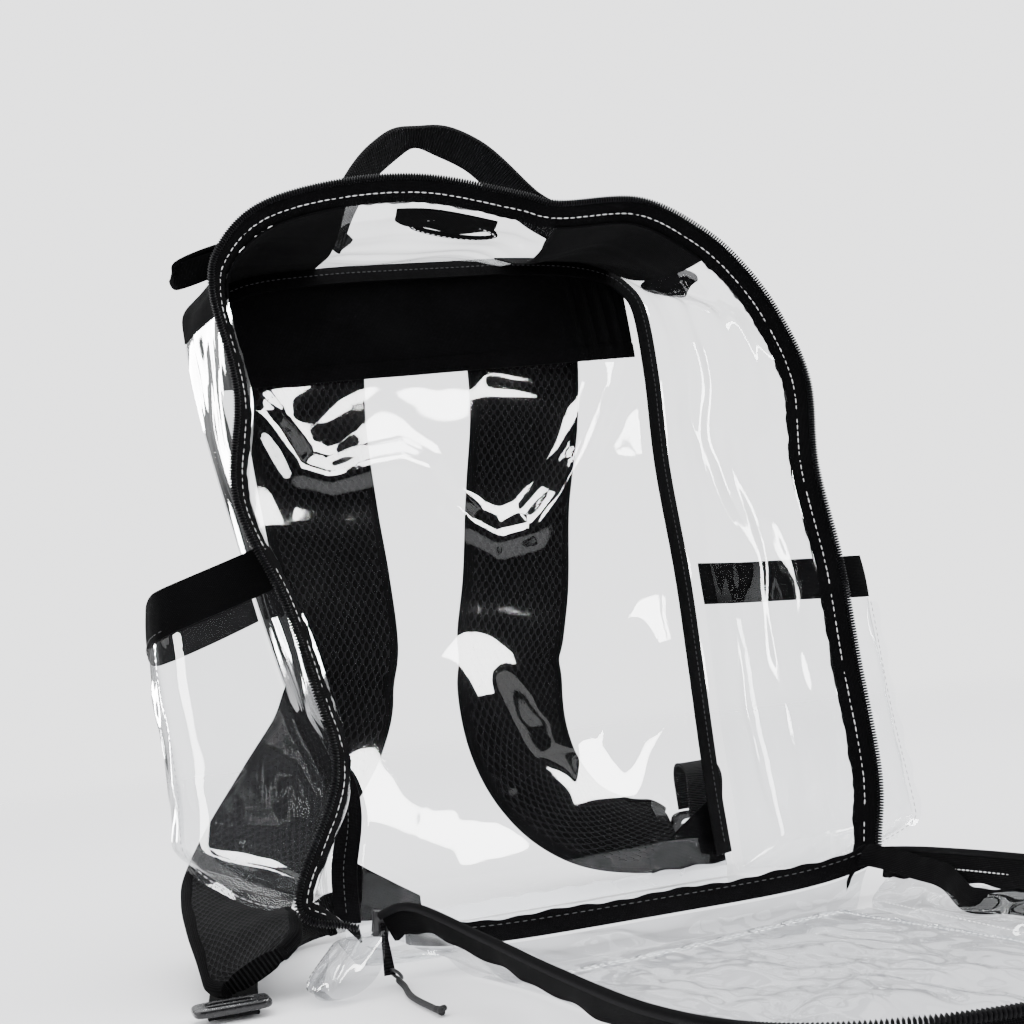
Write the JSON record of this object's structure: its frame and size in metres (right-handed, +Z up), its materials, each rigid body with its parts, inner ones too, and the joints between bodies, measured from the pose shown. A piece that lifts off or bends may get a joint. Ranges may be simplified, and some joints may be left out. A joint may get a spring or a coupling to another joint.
{
  "type": "clear stadium backpack",
  "caption": "Clear vinyl backpack with black binding, side pockets, padded mesh shoulder straps and a carrying loop, standing open with its zip-round front panel folded down.",
  "frame": {"origin": "centre of the bottom panel's underside, on the floor that the bag stands on", "axes": "+Z up, +X to the right as one looks into the open bag, +Y to the back panel; the folded-down front panel lies towards -Y"},
  "size_m": [0.4302, 0.6547, 0.4982],
  "materials": {
    "film": "clear soft vinyl film, smooth and glossy, slightly wavy",
    "cloth": "black woven polyester, plain weave, matt",
    "coil": "black nylon zip coil",
    "strap_mesh": "black spacer mesh over foam, with rows of small holes",
    "webbing": "black ribbed webbing",
    "plastic": "black moulded plastic, satin gloss",
    "zip_metal": "black painted zinc"
  },
  "bodies": {
    "root": {"gusset_left": "film", "corner_left": "cloth", "gusset_top": "film", "corner_right": "cloth", "gusset_right": "film", "back_panel": "film", "yoke_band": "cloth", "back_binding": "cloth", "bottom_panel": "film", "zip_tape_body": "cloth", "zip_coil_body": "coil", "pocket_left": "film", "pocket_left_band": "cloth", "pocket_right": "film", "pocket_right_band": "cloth", "grab_handle": "webbing", "loop_left": "cloth", "loop_right": "cloth", "port_ring": "cloth", "port_flap": "cloth", "slider": "zip_metal", "pull_tab": "webbing", "pull_ring": "zip_metal", "front_zip_tape": "cloth", "front_zip_coil": "coil", "front_gusset": "film", "front_face": "film", "hinge_gusset": "film", "hinge_binding": "cloth", "strap_left": "strap_mesh", "strap_right": "strap_mesh", "webbing_left": "webbing", "webbing_right": "webbing", "strap_tab_left": "cloth", "strap_tab_right": "cloth", "adjuster_left": "plastic", "adjuster_right": "plastic", "pull_cord": "webbing"}
  },
  "joints": []
}
